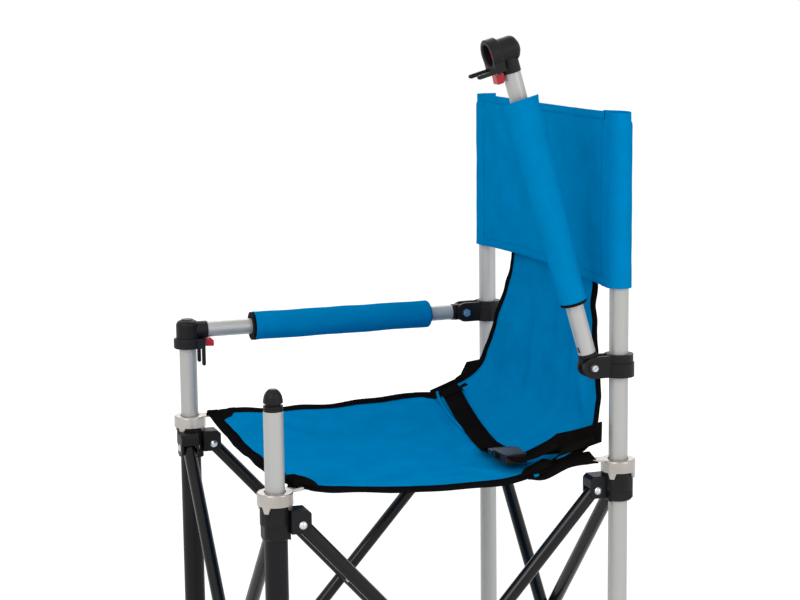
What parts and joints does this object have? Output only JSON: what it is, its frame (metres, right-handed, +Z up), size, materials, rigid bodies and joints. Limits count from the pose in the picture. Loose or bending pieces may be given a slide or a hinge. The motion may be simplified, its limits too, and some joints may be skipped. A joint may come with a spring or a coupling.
{
  "type": "folding camping chair",
  "caption": "Child's folding camping chair with crossed braces, fabric seat and back, lap belt and swing-up arms.",
  "frame": {"origin": "middle of the four feet, on the ground", "axes": "+Z up, -Y is where the sitter faces, +X is the sitter's left"},
  "size_m": [0.455, 0.455, 0.9663],
  "materials": {
    "silver_metal": "satin",
    "black_metal": "satin",
    "brace_black": "gloss",
    "bright_steel": "polished",
    "black_plastic": "matte",
    "red_plastic": "gloss",
    "blue_fabric": "matte",
    "black_webbing": "matte"
  },
  "bodies": {
    "rear_left": {"post_rear_left": "silver_metal", "foot_rear_left": "black_plastic", "back_panel": "blue_fabric"},
    "left_outer": {"brace_left_outer": "brace_black", "rivets_left_outer": "bright_steel"},
    "left_inner": {"brace_left_inner": "brace_black", "rivets_left_inner": "bright_steel"},
    "front_left_leg": {"leg_tube_left": "black_metal", "foot_front_left": "black_plastic"},
    "front_left_hub": {"hub_front_left": "black_plastic", "ring_front_left": "bright_steel", "post_front_left": "silver_metal", "plug_cap_left": "black_plastic"},
    "rear_left_hub": {"hub_rear_left": "black_plastic", "ring_rear_left": "bright_steel", "back_sling": "blue_fabric", "rear_straps": "black_webbing", "lap_belt": "black_webbing"},
    "rear_inner": {"brace_rear_inner": "brace_black", "rivets_rear_inner": "bright_steel"},
    "rear_outer": {"brace_rear_outer": "brace_black", "rivets_rear_outer": "bright_steel"},
    "rear_right": {"post_rear_right": "silver_metal", "foot_rear_right": "black_plastic"},
    "bracket_left": {"bracket_left": "black_plastic", "hinge_bolt_left": "bright_steel"},
    "bracket_right": {"bracket_right": "black_plastic", "hinge_bolt_right": "bright_steel"},
    "rear_right_hub": {"hub_rear_right": "black_plastic", "ring_rear_right": "bright_steel"},
    "front_outer": {"brace_front_outer": "brace_black", "rivets_front_outer": "bright_steel"},
    "front_inner": {"brace_front_inner": "brace_black", "rivets_front_inner": "bright_steel"},
    "front_right_leg": {"leg_tube_right": "black_metal", "foot_front_right": "black_plastic"},
    "front_right_hub": {"hub_front_right": "black_plastic", "ring_front_right": "bright_steel", "post_front_right": "silver_metal", "plug_cap_right": "black_plastic"},
    "right_inner": {"brace_right_inner": "brace_black", "rivets_right_inner": "bright_steel"},
    "right_outer": {"brace_right_outer": "brace_black", "rivets_right_outer": "bright_steel"},
    "arm_left": {"arm_tube_left": "silver_metal", "hinge_plug_left": "black_plastic", "arm_pad_left": "blue_fabric", "connector_left": "black_plastic"},
    "arm_right": {"arm_tube_right": "silver_metal", "hinge_plug_right": "black_plastic", "arm_pad_right": "blue_fabric", "connector_right": "black_plastic"},
    "latch_left": {"latch_left": "red_plastic"},
    "latch_right": {"latch_right": "red_plastic"},
    "seat_front": {"seat_front": "blue_fabric"},
    "seat_rear": {"seat_rear": "blue_fabric"},
    "buckle": {"buckle_socket": "black_plastic"},
    "buckle_tongue": {"buckle_tongue": "black_plastic"}
  },
  "joints": [
    {"name": "fold", "type": "hinge", "parent": "rear_left", "child": "left_outer", "pos_m": [0.2133, 0.179, 0.044], "axis": [-1, 0, 0], "range_deg": [0, 37.2], "deforming": ["seat_front", "seat_rear", "back_sling", "rear_straps", "lap_belt", "back_panel"]},
    {"name": "left_cross", "type": "hinge", "parent": "left_outer", "child": "left_inner", "pos_m": [0.205, 0, 0.244], "axis": [-1, 0, 0], "range_deg": [-74.4, 0]},
    {"name": "front_left_leg_pivot", "type": "hinge", "parent": "left_inner", "child": "front_left_leg", "pos_m": [0.1967, -0.179, 0.044], "axis": [-1, 0, 0], "range_deg": [0, 37.2]},
    {"name": "front_left_hub_pivot", "type": "hinge", "parent": "left_outer", "child": "front_left_hub", "pos_m": [0.2133, -0.179, 0.444], "axis": [-1, 0, 0], "range_deg": [-37.2, 0]},
    {"name": "rear_left_hub_pivot", "type": "hinge", "parent": "left_inner", "child": "rear_left_hub", "pos_m": [0.1967, 0.179, 0.444], "axis": [-1, 0, 0], "range_deg": [0, 37.2]},
    {"name": "rear_inner_pivot", "type": "hinge", "parent": "rear_left", "child": "rear_inner", "pos_m": [0.179, 0.1967, 0.044], "axis": [0, 1, 0], "range_deg": [0, 37.2]},
    {"name": "rear_cross", "type": "hinge", "parent": "rear_inner", "child": "rear_outer", "pos_m": [0, 0.205, 0.244], "axis": [0, 1, 0], "range_deg": [-74.4, 0]},
    {"name": "rear_right_leg_pivot", "type": "hinge", "parent": "rear_outer", "child": "rear_right", "pos_m": [-0.179, 0.2133, 0.044], "axis": [0, 1, 0], "range_deg": [0, 37.2]},
    {"name": "rear_right_hub_pivot", "type": "hinge", "parent": "rear_inner", "child": "rear_right_hub", "pos_m": [-0.179, 0.1967, 0.444], "axis": [0, 1, 0], "range_deg": [-37.2, 0]},
    {"name": "front_outer_pivot", "type": "hinge", "parent": "front_left_leg", "child": "front_outer", "pos_m": [0.179, -0.2133, 0.044], "axis": [0, 1, 0], "range_deg": [0, 37.2]},
    {"name": "front_cross", "type": "hinge", "parent": "front_outer", "child": "front_inner", "pos_m": [0, -0.205, 0.244], "axis": [0, 1, 0], "range_deg": [-74.4, 0]},
    {"name": "front_right_leg_pivot", "type": "hinge", "parent": "front_inner", "child": "front_right_leg", "pos_m": [-0.179, -0.1967, 0.044], "axis": [0, 1, 0], "range_deg": [0, 37.2]},
    {"name": "front_right_hub_pivot", "type": "hinge", "parent": "front_outer", "child": "front_right_hub", "pos_m": [-0.179, -0.2133, 0.444], "axis": [0, 1, 0], "range_deg": [-37.2, 0]},
    {"name": "right_inner_pivot", "type": "hinge", "parent": "rear_right", "child": "right_inner", "pos_m": [-0.1967, 0.179, 0.044], "axis": [-1, 0, 0], "range_deg": [0, 37.2]},
    {"name": "right_cross", "type": "hinge", "parent": "right_inner", "child": "right_outer", "pos_m": [-0.205, 0, 0.244], "axis": [-1, 0, 0], "range_deg": [-74.4, 0]},
    {"name": "bracket_left_lift", "type": "slide", "parent": "rear_left", "child": "bracket_left", "axis": [0, 0, 1], "range_m": [0, 0.04]},
    {"name": "bracket_right_lift", "type": "slide", "parent": "rear_right", "child": "bracket_right", "axis": [0, 0, 1], "range_m": [0, 0.04]},
    {"name": "arm_left_swing", "type": "hinge", "parent": "bracket_left", "child": "arm_left", "pos_m": [0.205, 0.17, 0.59], "axis": [-1, 0, 0], "range_deg": [-74, 14]},
    {"name": "arm_right_swing", "type": "hinge", "parent": "bracket_right", "child": "arm_right", "pos_m": [-0.205, 0.17, 0.59], "axis": [-1, 0, 0], "range_deg": [0, 88]},
    {"name": "latch_left_slide", "type": "slide", "parent": "arm_left", "child": "latch_left", "axis": [0, -0.2756, 0.9613], "range_m": [0, 0.0024], "stiffness_N_per_m": 900, "springref_m": -0.001},
    {"name": "latch_right_slide", "type": "slide", "parent": "arm_right", "child": "latch_right", "axis": [0, -1, 0], "range_m": [0, 0.0024], "stiffness_N_per_m": 900, "springref_m": -0.001},
    {"name": "seat_front_lift", "type": "hinge", "parent": "front_left_hub", "child": "seat_front", "pos_m": [0, -0.183, 0.481], "axis": [1, 0, 0], "range_deg": [0, 90]},
    {"name": "seat_rear_lift", "type": "hinge", "parent": "rear_left_hub", "child": "seat_rear", "pos_m": [0, 0.115, 0.466], "axis": [-1, 0, 0], "range_deg": [0, 90]},
    {"name": "buckle_carry", "type": "slide", "parent": "rear_left_hub", "child": "buckle", "axis": [0.5657, -0.7071, 0.4243], "range_m": [0, 0.0283]},
    {"name": "buckle_release", "type": "slide", "parent": "buckle", "child": "buckle_tongue", "axis": [-1, 0, 0], "range_m": [0, 0.026]}
  ],
  "couplings": [
    {"joint": "left_cross", "follows": "fold", "ratio": -2},
    {"joint": "front_left_leg_pivot", "follows": "fold", "ratio": 1},
    {"joint": "front_left_hub_pivot", "follows": "fold", "ratio": -1},
    {"joint": "rear_left_hub_pivot", "follows": "fold", "ratio": 1},
    {"joint": "rear_inner_pivot", "follows": "fold", "ratio": 1},
    {"joint": "rear_cross", "follows": "fold", "ratio": -2},
    {"joint": "rear_right_leg_pivot", "follows": "fold", "ratio": 1},
    {"joint": "rear_right_hub_pivot", "follows": "fold", "ratio": -1},
    {"joint": "front_outer_pivot", "follows": "fold", "ratio": 1},
    {"joint": "front_cross", "follows": "fold", "ratio": -2},
    {"joint": "front_right_leg_pivot", "follows": "fold", "ratio": 1},
    {"joint": "front_right_hub_pivot", "follows": "fold", "ratio": -1},
    {"joint": "right_inner_pivot", "follows": "fold", "ratio": 1},
    {"joint": "right_cross", "follows": "fold", "ratio": -2},
    {"joint": "bracket_left_lift", "follows": "fold", "m_per_rad": 0.06145},
    {"joint": "bracket_right_lift", "follows": "fold", "m_per_rad": 0.06145},
    {"joint": "arm_right_swing", "follows": "fold", "ratio": 2.3656},
    {"joint": "seat_front_lift", "follows": "fold", "ratio": 2.4194},
    {"joint": "seat_rear_lift", "follows": "fold", "ratio": 2.4194},
    {"joint": "buckle_carry", "follows": "fold", "m_per_rad": 0.04356}
  ]
}
